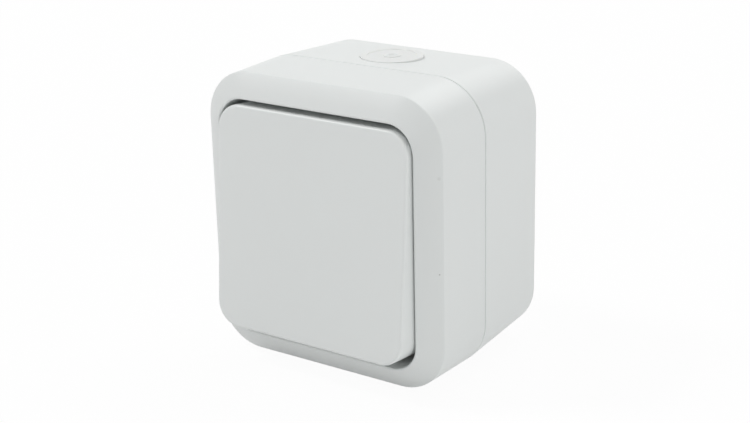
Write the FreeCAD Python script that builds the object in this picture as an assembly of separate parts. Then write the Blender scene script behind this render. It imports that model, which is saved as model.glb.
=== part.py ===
"""Surface mounted rocker light switch in a sealed housing of a box and a cover.

The wall is the plane y = 0. The switch stands out from it along -Y, +Z is up and
the origin is the middle of the back. A depth named "out" is a distance from the wall.
Lengths are millimetres and angles are degrees. The switch is modelled with the top
of its rocker pressed in, so that the lower contact is closed.
"""
import FreeCAD, Part
import math
import os

Vector = FreeCAD.Vector

# How far a cut runs past the face that it opens
OVER = 1.0

# Housing outside
WIDTH = 75.0
HEIGHT = 79.5
BOX_DEPTH = 28.4
COVER_DEPTH = 19.3
BEVEL_DEPTH = 4.15
BEVEL_SIDE = 6.5
BEVEL_TOP = 6.5
SEAM_CORNER = 14.5
BACK_CORNER = 13.5
FRONT_CORNER = 13.5
BACK_DRAW = 1.4
FRONT_DRAW = 0.6
BEVEL_SWELL = 0.25
SEAM_GAP = 0.3
SEAM_EDGE = 0.3
FRONT_EDGE = 0.5
RIM_EDGE = 0.4

# Housing walls
BOX_WALL = 2.6
BACK_WALL = 2.5
COVER_WALL = 2.4
RIM_THICKNESS = 4.95
BACK_RIM = 6.0
BACK_RELIEF = 0.7

# Joint between the box and the cover
LIP = 1.2
LIP_HEIGHT = 2.0
GASKET_HEIGHT = 1.0
JOINT_PLAY = 0.15

# Pocket that the rocker sits in
POCKET_CORNER = 7.4
POCKET_DEPTH = 13.45
POCKET_DRAW = 0.1
POCKET_WALL = 1.8
FLOOR = 1.8

# Rocker
ROCKER_GAP_SIDE = 0.45
ROCKER_GAP_END = 2.15
ROCKER_CORNER = 6.7
SKIRT_CLEAR = 3.85
ROCKER_PLATE = 2.0
ROCKER_WALL = 1.8
ROCKER_DRAW = 0.1
ROCKER_EDGE = 0.75
TILT = 4.75
PIVOT_BELOW_RIM = 8.1
FACE_RISE = 11.3
RIB = 1.4
RIB_RISE = 6.2
RIB_INSET = 3.9
RIB_END = 4.5
CROSS_RIB_Z = 20.0

# Cradle that the rocker clips on to
CRADLE_PLAY = 0.6
CRADLE_HEIGHT = 26.4
CRADLE_PLATE = 2.0
CRADLE_CORNER = 1.5
CRADLE_RISE = 1.0
CHEEK = 2.0
CHEEK_HALF = 4.5
CHEEK_DROP = 3.2
AXLE_R = 2.4
AXLE_PLAY = 0.05
AXLE_END_PLAY = 0.2
GUIDE_R = 4.2
GUIDE_DROP = 7.0
GUIDE_ROOF = 0.5
WEB = 1.6
POST = 4.0
POST_Z = 10.0
HOOK_X = 7.5
HOOK_Z = 9.0
HOOK_WIDTH = 4.0
HOOK_THICK = 1.6
HOOK_BARB = 0.7
HOOK_TIP = 1.4
HOOK_PLAY = 0.2

# Plunger and its spring
PLUNGER_R = 2.5
PLUNGER_PLAY = 0.08
PLUNGER_HEAD = 4.0
PLUNGER_NECK = 2.5
TIP_R = 1.5
TIP_PLAY = 0.05
SPRING_WIRE_R = 0.3
SPRING_WIRE_SIDES = 8
SPRING_TURNS = 4.0
SPRING_PLAY = 0.1

# Contact lever, a seesaw on a ridge
LEVER_RATIO = 1.1
FULCRUM_RISE = 1.0
FULCRUM_R = 0.6
LEVER_THICK = 1.2
LEVER_WIDTH = 6.0
LEVER_HALF = 11.2
LEVER_CORNER = 2.85
CONTACT_Z = 9.0
CONTACT_R = 1.7
MOVING_CONTACT = 0.8
FIXED_CONTACT = 0.6
CONTACT_GAP = 0.05
RIVET_R = 0.9
RIVET_PLAY = 0.02
RIVET_TAIL_R = 1.3
RIVET_TAIL = 0.4

# Terminals
STRIP = 1.0
STRIP_WIDTH = 5.0
LEG_RADIUS = 10.5
STRIP_SEAT = 0.5
STRIP_BEND = 0.8
COMMON_DROP = 5.5
CAGE_LENGTH = 7.3
CAGE_WIDTH = 8.4
CAGE_BACK = 0.8
CAGE_SPACE = 6.0
CAGE_FRONT = 1.2
CAGE_SIDE = 0.8
CAGE_PLAY = 0.2
TERMINAL_SCREW_R = 1.5
TERMINAL_HEAD_R = 2.6
TERMINAL_HEAD = 1.8
TERMINAL_GRIP = 2.6
TERMINAL_STAND = 0.5
TERMINAL_POINT = 0.45
TERMINAL_HEAD_PLAY = 0.4
WIRE_HOLE_R = 1.4
WIRE_HOLE_OFFSET = 1.75

# Mechanism body, frame and strap
BODY_INSET = 4.5
BODY_HEIGHT = 42.0
BODY_DEPTH = 17.5
BODY_CORNER = 2.0
BODY_EDGE = 1.0
BODY_FLOOR = 1.7
CHAMBER_PLAY = 1.4
LEDGE_Z = 6.5
FLANGE = 2.0
FLANGE_CLEAR = 1.3
FLANGE_HEIGHT = 43.0
TOWER_INSET = 6.5
TOWER_HEIGHT = 34.0
TOWER_WALL = 2.0
TOWER_CORNER = 2.5
TOWER_INNER_CORNER = 1.5
TOWER_RISE = 4.0
CLIP_Z = 13.0
CLIP_WIDTH = 5.0
CLIP_THICK = 1.2
CLIP_LENGTH = 9.0
CLIP_BARB = 0.6
CLIP_BARB_LENGTH = 1.5
CLIP_PLAY = 0.1
STRAP_RISE = 2.1
STRAP = 1.2
STRAP_EAR_END = 4.0
STRAP_EAR = 14.0
STRAP_EAR_CORNER = 3.5
STRAP_PLAY = 0.15
STAKE_INSET = 2.0
STAKE_Z = 8.0
STAKE_R = 1.2
STAKE_HEAD_R = 2.0
STAKE_HEAD = 0.8
SEAL_WIDTH = 2.0
SEAL_HEIGHT = 1.5
SEAL_PLAY = 0.25
COLLAR = 1.6
COLLAR_PLAY = 0.6

# Screws and their posts
STRAP_SCREW_INSET = 7.5
STRAP_POST_R = 3.2
POST_PLAY = 0.3
COVER_SCREW_INSET_X = 6.0
COVER_SCREW_INSET_Z = 5.4
COVER_POST_R = 3.8
COVER_BOSS_R = 4.5
COVER_SEAT_DROP = 2.1
SCREW_R = 1.6
SCREW_HEAD_R = 3.1
SCREW_HEAD = 2.0
SCREW_HEAD_EDGE = 0.65
SCREW_PLAY = 0.05
HOLE_PLAY = 0.2
STRAP_SCREW_GRIP = 9.0
COVER_SCREW_GRIP = 10.0
SCREW_HOLE_SPARE = 1.0
DRIVE_SPAN = 4.4
DRIVE_SLOT = 0.8
DRIVE_DEPTH = 0.9
GUSSET = 2.0

# Fixing slots in the back
FIXING_INSET = 10.0
FIXING_R = 2.1
FIXING_LENGTH = 7.0
FIXING_COLLAR = 1.9
FIXING_COLLAR_HEIGHT = 1.0

# Cable entries at the top and the bottom
ENTRY_OFF_MIDDLE = 0.8
ENTRY_HOLE_R = 7.6
ENTRY_SEAT = 0.9
ENTRY_PLATE = 1.2
ENTRY_PROUD = 0.6
ENTRY_SUNK = -0.2
ENTRY_REACH = 3.0
FLANGE_R = 8.6
FLANGE_PLAY = 0.1
FLANGE_EDGE = 0.15
INNER_FLANGE_R = 8.3
INNER_FLANGE = 0.9
SKIN = 0.8
STEP_R = 6.6
STEP_DEPTH = 0.2
BOSS_R = 2.4
PRICK_R = 1.6
PRICK_TIP_R = 0.9
PRICK_DEPTH = 0.4

# Places that follow from the sizes above
HALF_X = WIDTH / 2
HALF_Z = HEIGHT / 2
FRONT_OUT = BOX_DEPTH + COVER_DEPTH
RIM_OUT = FRONT_OUT + BEVEL_DEPTH
COVER_BACK = BOX_DEPTH + SEAM_GAP
POCKET_WIDTH = WIDTH - 2 * (FRONT_DRAW + BEVEL_SIDE)
POCKET_HEIGHT = HEIGHT - 2 * (FRONT_DRAW + BEVEL_TOP)
FLOOR_OUT = RIM_OUT - POCKET_DEPTH
FLOOR_BACK = FLOOR_OUT - FLOOR
PIVOT_OUT = RIM_OUT - PIVOT_BELOW_RIM
ROCKER_WIDTH = POCKET_WIDTH - 2 * ROCKER_GAP_SIDE
ROCKER_HEIGHT = POCKET_HEIGHT - 2 * ROCKER_GAP_END
ROCKER_DEPTH = PIVOT_OUT + FACE_RISE - FLOOR_OUT - SKIRT_CLEAR
STRAP_SCREW_X = HALF_X - STRAP_SCREW_INSET
FLANGE_WIDTH = 2 * (STRAP_SCREW_X - STRAP_POST_R - FLANGE_CLEAR)
BODY_WIDTH = FLANGE_WIDTH - 2 * BODY_INSET
TOWER_WIDTH = FLANGE_WIDTH - 2 * TOWER_INSET
CRADLE_WIDTH = TOWER_WIDTH - 2 * (TOWER_WALL + CRADLE_PLAY)
RIB_X = CRADLE_WIDTH / 2 - RIB_INSET
STAKE_X = FLANGE_WIDTH / 2 - STAKE_INSET
STRAP_WIDTH = 2 * (STRAP_SCREW_X + STRAP_EAR_END)
FIXING_X = STRAP_SCREW_X - FIXING_INSET
ENTRY_OUT = BOX_DEPTH / 2 + ENTRY_OFF_MIDDLE
STRAP_OUT = BOX_DEPTH + STRAP_RISE
STRAP_FRONT = STRAP_OUT + STRAP
BODY_FRONT = STRAP_OUT - FLANGE
BODY_BACK = BODY_FRONT - BODY_DEPTH
CAGE_OUT = BODY_BACK + BODY_FLOOR
CHAMBER_HALF = LEVER_WIDTH / 2 + CHAMBER_PLAY
CHAMBER_END = LEVER_HALF + CHAMBER_PLAY
STRIP_START = LEDGE_Z + STRIP_SEAT
FULCRUM_OUT = BODY_FRONT + FULCRUM_RISE
SWING = TILT * LEVER_RATIO
SWING_RISE = CONTACT_Z * math.sin(math.radians(SWING))
CONTACT_TIP = MOVING_CONTACT * math.cos(math.radians(SWING))
CONTACT_OUT = FULCRUM_OUT - SWING_RISE - CONTACT_TIP - CONTACT_GAP
STRIP_OUT = CONTACT_OUT - FIXED_CONTACT - STRIP
COMMON_OUT = BODY_FRONT - COMMON_DROP - STRIP
SCREW_OUT = CAGE_OUT + CAGE_LENGTH / 2
CAGE_START = LEG_RADIUS - CAGE_BACK
CAGE_END = LEG_RADIUS + CAGE_SPACE + CAGE_FRONT
TERMINALS = {"upper": 90, "lower": -90, "common": 0}
SEAL_OUT = STRAP_FRONT + SEAL_HEIGHT
COVER_SCREW_X = POCKET_WIDTH / 2 - COVER_SCREW_INSET_X
COVER_SCREW_Z = POCKET_HEIGHT / 2 - COVER_SCREW_INSET_Z
COVER_SCREWS = [(-COVER_SCREW_X, COVER_SCREW_Z), (COVER_SCREW_X, -COVER_SCREW_Z)]
STRAP_SCREWS = [(-STRAP_SCREW_X, 0), (STRAP_SCREW_X, 0)]
TIP_CENTRE = PIVOT_OUT - FULCRUM_OUT - LEVER_THICK - TIP_R - TIP_PLAY


def mix(start, end, share):
    """A value part of the way from start to end."""
    return start + (end - start) * share


def rounded(half_x, half_z, corner, out):
    """A rounded rectangle parallel to the wall, as a closed wire."""
    edges = []
    in_x = half_x - corner
    in_z = half_z - corner
    bend = corner * math.sqrt(0.5)
    for turn in range(4):
        x_side, z_side = ((1, 1), (-1, 1), (-1, -1), (1, -1))[turn]
        centre = Vector(x_side * in_x, -out, z_side * in_z)
        side = centre + Vector(x_side * corner, 0, 0)
        middle = centre + Vector(x_side * bend, 0, z_side * bend)
        end = centre + Vector(0, 0, z_side * corner)
        if turn % 2:
            side, end = end, side
        if edges:
            edges.append(Part.LineSegment(last, side).toShape())
        else:
            first = side
        edges.append(Part.Arc(side, middle, end).toShape())
        last = end
    edges.append(Part.LineSegment(last, first).toShape())
    return Part.Wire(edges)


def outline(out, inset=0.0):
    """The housing's rounded outline at a depth, drawn in by an inset."""
    if out <= BOX_DEPTH:
        share = out / BOX_DEPTH
        draw = mix(BACK_DRAW, 0, share)
        corner = mix(BACK_CORNER, SEAM_CORNER, share)
    else:
        share = (out - BOX_DEPTH) / COVER_DEPTH
        draw = mix(0, FRONT_DRAW, share)
        corner = mix(SEAM_CORNER, FRONT_CORNER, share)
    taken = draw + inset
    return rounded(HALF_X - taken, HALF_Z - taken, corner - inset, out)


def tapered(*wires):
    """A solid with straight sides between outlines."""
    return Part.makeLoft(list(wires), True, True)


def housing(back, front, inset=0.0):
    """The housing's form between two depths, drawn in by an inset."""
    return tapered(outline(back, inset), outline(front, inset))


def slab(half_x, half_z, corner, back, front):
    """A rounded plate parallel to the wall."""
    face = Part.Face(rounded(half_x, half_z, corner, back))
    return face.extrude(Vector(0, back - front, 0))


def block(x_low, x_high, back, front, z_low, z_high):
    """A box between two depths."""
    size = (x_high - x_low, front - back, z_high - z_low)
    return Part.makeBox(*size, Vector(x_low, -front, z_low))


def rod(radius, x, z, back, front):
    """A round rod square to the wall."""
    return Part.makeCylinder(radius, front - back, Vector(x, -back, z), Vector(0, -1, 0))


def turned(profile, start, direction):
    """A turned piece. The profile lists (distance along the axis, radius)."""
    points = [Vector(profile[0][0], 0, 0)]
    points += [Vector(along, radius, 0) for along, radius in profile]
    points += [Vector(profile[-1][0], 0, 0)]
    distinct = [p for n, p in enumerate(points) if n == 0 or (p - points[n - 1]).Length > 1e-6]
    face = Part.Face(Part.makePolygon(distinct + [distinct[0]]))
    solid = face.revolve(Vector(0, 0, 0), Vector(1, 0, 0), 360)
    turn = FreeCAD.Rotation(Vector(1, 0, 0), direction)
    solid.Placement = FreeCAD.Placement(start, turn)
    return solid


def dome(radius, height, start, direction):
    """A shallow domed button that stands on its flat side."""
    ball_r = (radius ** 2 + height ** 2) / (2 * height)
    base = Part.makeCylinder(radius, height, start, direction)
    ball = Part.makeSphere(ball_r, start + direction * (height - ball_r))
    return base.common(ball)


def screw(x, z, seat, grip, radius, head_r, head):
    """A pan head screw driven towards the wall, with a cross drive."""
    shank = rod(radius, x, z, seat - grip, seat)
    cap = rod(head_r, x, z, seat, seat + head)
    top = seat + head
    cap = cap.makeFillet(SCREW_HEAD_EDGE, level_edges(cap, top))
    slot = DRIVE_SLOT / 2
    reach = DRIVE_SPAN / 2
    across = block(x - reach, x + reach, top - DRIVE_DEPTH, top + OVER, z - slot, z + slot)
    along = block(x - slot, x + slot, top - DRIVE_DEPTH, top + OVER, z - reach, z + reach)
    return shank.fuse(cap).cut(across.fuse(along))


def level_edges(shape, out):
    """The edges that lie at one depth."""
    tolerance = 0.01
    found = []
    for edge in shape.Edges:
        span = edge.BoundBox
        if abs(span.YMin + out) < tolerance and abs(span.YMax + out) < tolerance:
            found.append(edge)
    return found


def tilted(shape):
    """Turns a piece of the rocker's group into its rest pose, top pressed in."""
    turned_shape = shape.copy()
    turned_shape.rotate(Vector(0, -PIVOT_OUT, 0), Vector(1, 0, 0), -TILT)
    return turned_shape


def swung(shape):
    """Turns a piece of the contact lever into its rest pose, lower contact closed."""
    turned_shape = shape.copy()
    turned_shape.rotate(Vector(0, -FULCRUM_OUT, 0), Vector(1, 0, 0), SWING)
    return turned_shape


def about_centre(shape, angle):
    """Turns a terminal piece from the +X side to its own side of the mechanism."""
    turned_shape = shape.copy()
    turned_shape.rotate(Vector(0, 0, 0), Vector(0, 1, 0), -angle)
    return turned_shape


def slot_solid(x, radius, length, back, front):
    """A straight slot along X with round ends."""
    half = length / 2 - radius
    middle = block(x - half, x + half, back, front, -radius, radius)
    return middle.fuse([rod(radius, x - half, 0, back, front), rod(radius, x + half, 0, back, front)])


def entry_wall():
    """Height of the housing's outer wall over the middle of a cable entry."""
    return HALF_Z - mix(BACK_DRAW, 0, ENTRY_OUT / BOX_DEPTH)


def entry_cut():
    """What the upper cable entry takes out of the top wall."""
    seat = entry_wall() - ENTRY_SEAT
    inside = seat - ENTRY_PLATE
    at = Vector(0, -ENTRY_OUT, 0)
    up = Vector(0, 0, 1)
    hole = Part.makeCylinder(ENTRY_HOLE_R, ENTRY_PLATE + 2 * OVER, at + up * (inside - OVER), up)
    recess = Part.makeCylinder(FLANGE_R + FLANGE_PLAY, ENTRY_REACH, at + up * seat, up)
    spot = Part.makeCylinder(INNER_FLANGE_R + FLANGE_PLAY, ENTRY_REACH, at + up * (inside - ENTRY_REACH), up)
    return hole.fuse([recess, spot])


def mirrored_down(shape):
    """The same piece for the bottom of the housing."""
    return shape.mirror(Vector(0, 0, 0), Vector(0, 0, 1))


def box_posts():
    """Posts for the strap and cover screws, tied to the side walls."""
    solids = []
    for x, z in STRAP_SCREWS:
        side = math.copysign(1, x)
        edge = HALF_X - BACK_DRAW - BOX_WALL / 2
        ends = sorted((x, side * edge))
        solids.append(rod(STRAP_POST_R, x, z, BACK_WALL / 2, STRAP_OUT))
        solids.append(block(*ends, BACK_WALL / 2, BOX_DEPTH - LIP_HEIGHT - GUSSET, -GUSSET / 2, GUSSET / 2))
    for x, z in COVER_SCREWS:
        side = math.copysign(1, x)
        edge = HALF_X - BACK_DRAW - BOX_WALL / 2
        ends = sorted((x, side * edge))
        low = z - GUSSET / 2
        solids.append(rod(COVER_POST_R, x, z, BACK_WALL / 2, STRAP_OUT))
        solids.append(block(*ends, BACK_WALL / 2, BOX_DEPTH - LIP_HEIGHT - GUSSET, low, low + GUSSET))
    return solids


def back_box():
    """The box that is fixed to the wall."""
    body = housing(0, BOX_DEPTH)
    body = body.makeFillet(SEAM_EDGE, level_edges(body, BOX_DEPTH) + level_edges(body, 0))
    body = body.cut(housing(BACK_WALL, BOX_DEPTH + OVER, BOX_WALL))
    body = body.cut(housing(BOX_DEPTH - LIP_HEIGHT, BOX_DEPTH + OVER, LIP))
    relief = housing(-OVER, BACK_RELIEF, BACK_RIM)
    collars = []
    for side in (-1, 1):
        x = side * FIXING_X
        outer_r = FIXING_R + FIXING_COLLAR
        outer_length = FIXING_LENGTH + 2 * FIXING_COLLAR
        relief = relief.cut(slot_solid(x, outer_r, outer_length, -OVER, BACK_RELIEF))
        collars.append(slot_solid(x, outer_r, outer_length, BACK_WALL / 2, BACK_WALL + FIXING_COLLAR_HEIGHT))
    body = body.fuse(collars + box_posts())
    body = body.cut(relief)
    for side in (-1, 1):
        slot_end = BACK_WALL + FIXING_COLLAR_HEIGHT + OVER
        body = body.cut(slot_solid(side * FIXING_X, FIXING_R, FIXING_LENGTH, -OVER, slot_end))
    for places, grip in ((STRAP_SCREWS, STRAP_SCREW_GRIP), (COVER_SCREWS, COVER_SCREW_GRIP)):
        hole_end = STRAP_OUT - grip - SCREW_HOLE_SPARE
        for x, z in places:
            body = body.cut(rod(SCREW_R + SCREW_PLAY, x, z, hole_end, STRAP_OUT + OVER))
    body = body.cut([entry_cut(), mirrored_down(entry_cut())])
    return body.removeSplitter()


def cable_membrane(proud):
    """Soft grommet of the upper cable entry, with a thin middle to push a cable through."""
    seat = entry_wall() - ENTRY_SEAT
    inside = seat - ENTRY_PLATE
    top = seat + ENTRY_SEAT + proud
    at = Vector(0, -ENTRY_OUT, 0)
    up = Vector(0, 0, 1)
    bottom = inside - INNER_FLANGE
    lid = top - STEP_DEPTH
    cut_top = lid - SKIN
    shape = Part.makeCylinder(FLANGE_R, top - seat, at + up * seat, up)
    tolerance = 0.01
    edges = [e for e in shape.Edges if abs(e.BoundBox.ZMin - top) < tolerance]
    shape = shape.makeFillet(FLANGE_EDGE, edges)
    shape = shape.fuse(Part.makeCylinder(ENTRY_HOLE_R, ENTRY_PLATE, at + up * inside, up))
    shape = shape.fuse(Part.makeCylinder(INNER_FLANGE_R, INNER_FLANGE, at + up * bottom, up))
    dish = Part.makeCone(STEP_R, STEP_R + STEP_DEPTH, STEP_DEPTH, at + up * lid, up)
    boss = Part.makeCylinder(BOSS_R, STEP_DEPTH, at + up * lid, up)
    prick = Part.makeCone(PRICK_TIP_R, PRICK_R, PRICK_DEPTH, at + up * (top - PRICK_DEPTH), up)
    hollow = Part.makeCylinder(STEP_R, cut_top - bottom, at + up * bottom, up)
    return shape.cut([dish.cut(boss), prick, hollow])


def box_gasket():
    """Sealing ring on the box's inner step."""
    back = BOX_DEPTH - LIP_HEIGHT
    front = back + GASKET_HEIGHT
    outer = housing(back, front, LIP + JOINT_PLAY)
    return outer.cut(housing(back, front, BOX_WALL))


def cover_shell():
    """The cover's side walls and its swelling bevel, solid inside."""
    sides = housing(COVER_BACK, FRONT_OUT)
    half_x = POCKET_WIDTH / 2
    half_z = POCKET_HEIGHT / 2
    mid_x = (HALF_X - FRONT_DRAW + half_x) / 2
    mid_z = (HALF_Z - FRONT_DRAW + half_z) / 2
    mid_corner = (FRONT_CORNER + POCKET_CORNER) / 2
    middle = rounded(mid_x, mid_z, mid_corner, FRONT_OUT + BEVEL_DEPTH / 2 + BEVEL_SWELL)
    rim = rounded(half_x, half_z, POCKET_CORNER, RIM_OUT)
    bevel = Part.makeLoft([outline(FRONT_OUT), middle, rim], True, False)
    return sides.fuse(bevel)


def front_cover():
    """The cover with the rocker's pocket, its floor, collar and screw bosses."""
    shell = cover_shell()
    shell = shell.makeFillet(FRONT_EDGE, level_edges(shell, FRONT_OUT))
    shell = shell.makeFillet(SEAM_EDGE, level_edges(shell, COVER_BACK))
    well_x = POCKET_WIDTH / 2 + POCKET_WALL
    well_z = POCKET_HEIGHT / 2 + POCKET_WALL
    well = slab(well_x, well_z, POCKET_CORNER + POCKET_WALL, FLOOR_BACK, RIM_OUT)
    hollow_end = RIM_OUT - RIM_THICKNESS
    hollow = housing(COVER_BACK - OVER, hollow_end, COVER_WALL).cut(well)
    shell = shell.cut(hollow)
    tongue_back = BOX_DEPTH - LIP_HEIGHT + GASKET_HEIGHT
    tongue = housing(tongue_back, COVER_BACK + OVER, LIP + JOINT_PLAY)
    tongue = tongue.cut(housing(tongue_back - OVER, COVER_BACK + 2 * OVER, COVER_WALL))
    collar_x = TOWER_WIDTH / 2 + COLLAR_PLAY
    collar_z = TOWER_HEIGHT / 2 + COLLAR_PLAY
    collar_corner = TOWER_CORNER + COLLAR_PLAY
    collar = slab(collar_x + COLLAR, collar_z + COLLAR, collar_corner + COLLAR, SEAL_OUT, FLOOR_OUT)
    solids = [tongue, collar]
    for x, z in COVER_SCREWS:
        solids.append(rod(COVER_BOSS_R, x, z, STRAP_OUT + JOINT_PLAY, FLOOR_OUT))
    shell = shell.fuse(solids)
    floor_wire = rounded(POCKET_WIDTH / 2 - POCKET_DRAW, POCKET_HEIGHT / 2 - POCKET_DRAW,
                         POCKET_CORNER - POCKET_DRAW, FLOOR_OUT)
    rim_draw = -POCKET_DRAW * OVER / POCKET_DEPTH
    rim_wire = rounded(POCKET_WIDTH / 2 - rim_draw, POCKET_HEIGHT / 2 - rim_draw,
                       POCKET_CORNER - rim_draw, RIM_OUT + OVER)
    shell = shell.cut(tapered(floor_wire, rim_wire))
    shell = shell.makeFillet(RIM_EDGE, level_edges(shell, RIM_OUT))
    shell = shell.cut(slab(collar_x, collar_z, collar_corner, SEAL_OUT - OVER, FLOOR_OUT + OVER))
    for x, z in COVER_SCREWS:
        seat = FLOOR_OUT - COVER_SEAT_DROP
        shell = shell.cut(rod(SCREW_R + HOLE_PLAY, x, z, STRAP_OUT, FLOOR_OUT + OVER))
        shell = shell.cut(rod(SCREW_HEAD_R + HOLE_PLAY, x, z, seat, FLOOR_OUT + OVER))
    return shell.removeSplitter()


def rocker_outline(out, inset=0.0):
    """The rocker's outline at a depth, before it is tilted."""
    below_face = PIVOT_OUT + FACE_RISE - out
    draw = inset - ROCKER_DRAW * below_face / ROCKER_DEPTH
    half_x = ROCKER_WIDTH / 2 - draw
    half_z = ROCKER_HEIGHT / 2 - draw
    return rounded(half_x, half_z, ROCKER_CORNER - inset, out)


def rocker_hook(x, z):
    """One leg that clips through the cradle's plate."""
    top = PIVOT_OUT + FACE_RISE - ROCKER_PLATE / 2
    catch = PIVOT_OUT + CRADLE_RISE
    side = math.copysign(1, z)
    inner = z - side * HOOK_THICK / 2
    outer = z + side * HOOK_THICK / 2
    low, high = sorted((inner, outer))
    leg = block(x - HOOK_WIDTH / 2, x + HOOK_WIDTH / 2, catch - HOOK_TIP, top, low, high)
    corner = Vector(x - HOOK_WIDTH / 2, -catch, outer)
    reach = Vector(0, 0, side * HOOK_BARB)
    tip = Vector(0, HOOK_TIP, 0)
    barb = Part.Face(Part.makePolygon([corner, corner + reach, corner + tip, corner]))
    return leg.fuse(barb.extrude(Vector(HOOK_WIDTH, 0, 0)))


def rocker():
    """The rocker with its skirt, ribs, posts and hooks."""
    face_out = PIVOT_OUT + FACE_RISE
    back = face_out - ROCKER_DEPTH
    under = face_out - ROCKER_PLATE
    body = tapered(rocker_outline(back), rocker_outline(face_out))
    body = body.makeFillet(ROCKER_EDGE, level_edges(body, face_out))
    body = body.cut(tapered(rocker_outline(back - OVER, ROCKER_WALL), rocker_outline(under, ROCKER_WALL)))
    rib_z = ROCKER_HEIGHT / 2 - ROCKER_WALL - RIB_END
    rib_back = PIVOT_OUT + RIB_RISE
    inside_x = ROCKER_WIDTH / 2 - ROCKER_WALL / 2
    solids = []
    for x in (-RIB_X, RIB_X):
        solids.append(block(x - RIB / 2, x + RIB / 2, rib_back, under + ROCKER_PLATE / 2, -rib_z, rib_z))
    for z in (-CROSS_RIB_Z, CROSS_RIB_Z):
        low = z - RIB / 2
        solids.append(block(-inside_x, inside_x, rib_back, under + ROCKER_PLATE / 2, low, low + RIB))
    post_back = PIVOT_OUT + CRADLE_RISE + CRADLE_PLATE
    for x in (-RIB_X, RIB_X):
        for z in (-POST_Z, POST_Z):
            half = POST / 2
            solids.append(block(x - RIB / 2, x + RIB / 2, post_back, rib_back + RIB / 2, z - half, z + half))
    for x in (-HOOK_X, HOOK_X):
        for z in (-HOOK_Z, HOOK_Z):
            solids.append(rocker_hook(x, z))
    return tilted(body.fuse(solids).removeSplitter())


def cradle():
    """The rocking carrier with its axle stubs and the plunger's guide."""
    plate_back = PIVOT_OUT + CRADLE_RISE
    plate_front = plate_back + CRADLE_PLATE
    half_x = CRADLE_WIDTH / 2
    plate = slab(half_x, CRADLE_HEIGHT / 2, CRADLE_CORNER, plate_back, plate_front)
    solids = [rod(GUIDE_R, 0, 0, PIVOT_OUT - GUIDE_DROP, plate_back + CRADLE_PLATE / 2)]
    axle_end = TOWER_WIDTH / 2 - AXLE_END_PLAY
    for side in (-1, 1):
        low, high = sorted((side * half_x, side * (half_x - CHEEK)))
        solids.append(block(low, high, PIVOT_OUT - CHEEK_DROP, plate_front - CRADLE_PLATE / 2,
                            -CHEEK_HALF, CHEEK_HALF))
        start = Vector(side * (half_x - CHEEK / 2), -PIVOT_OUT, 0)
        length = axle_end - half_x + CHEEK / 2
        solids.append(Part.makeCylinder(AXLE_R, length, start, Vector(side, 0, 0)))
        web_low, web_high = sorted((side * (half_x - CHEEK / 2), side * (GUIDE_R + PLUNGER_R) / 2))
        solids.append(block(web_low, web_high, PIVOT_OUT - CHEEK_DROP / 2, plate_back + CRADLE_PLATE / 4,
                            -WEB / 2, WEB / 2))
    body = plate.fuse(solids)
    guide_end = PIVOT_OUT - GUIDE_DROP - OVER
    body = body.cut(rod(PLUNGER_R + PLUNGER_PLAY, 0, 0, guide_end, PIVOT_OUT + GUIDE_ROOF))
    for x in (-HOOK_X, HOOK_X):
        for z in (-HOOK_Z, HOOK_Z):
            wide = HOOK_WIDTH / 2 + HOOK_PLAY
            thick = HOOK_THICK / 2 + HOOK_PLAY
            hook_hole = block(x - wide, x + wide, plate_back - OVER, plate_front + OVER, z - thick, z + thick)
            body = body.cut(hook_hole)
    return tilted(body.removeSplitter())


def plunger():
    """The sprung pin whose round tip rides on the contact lever."""
    shoulder = TIP_CENTRE - PLUNGER_NECK
    pin = rod(PLUNGER_R, 0, 0, PIVOT_OUT - shoulder, PIVOT_OUT - PLUNGER_HEAD)
    neck = Part.makeCone(PLUNGER_R, TIP_R, PLUNGER_NECK, Vector(0, shoulder - PIVOT_OUT, 0), Vector(0, 1, 0))
    tip = Part.makeSphere(TIP_R, Vector(0, TIP_CENTRE - PIVOT_OUT, 0))
    return tilted(pin.fuse([neck, tip]).removeSplitter())


def plunger_spring():
    """The coil spring between the guide's roof and the plunger, with a wire of flat sides."""
    rise = PLUNGER_HEAD + GUIDE_ROOF - 2 * SPRING_WIRE_R
    coil_r = PLUNGER_R - SPRING_WIRE_R - SPRING_PLAY
    corners = []
    for side in range(SPRING_WIRE_SIDES + 1):
        angle = 2 * math.pi * side / SPRING_WIRE_SIDES
        corners.append(Vector(coil_r + SPRING_WIRE_R * math.cos(angle), 0, SPRING_WIRE_R * math.sin(angle)))
    helix = Part.makeHelix(rise / SPRING_TURNS, rise, coil_r)
    coil = Part.Wire(helix).makePipeShell([Part.makePolygon(corners)], True, True)
    turn = FreeCAD.Rotation(Vector(0, 0, 1), Vector(0, 1, 0))
    start = Vector(0, -PIVOT_OUT - GUIDE_ROOF + SPRING_WIRE_R, 0)
    coil.Placement = FreeCAD.Placement(start, turn)
    return tilted(coil)


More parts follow.
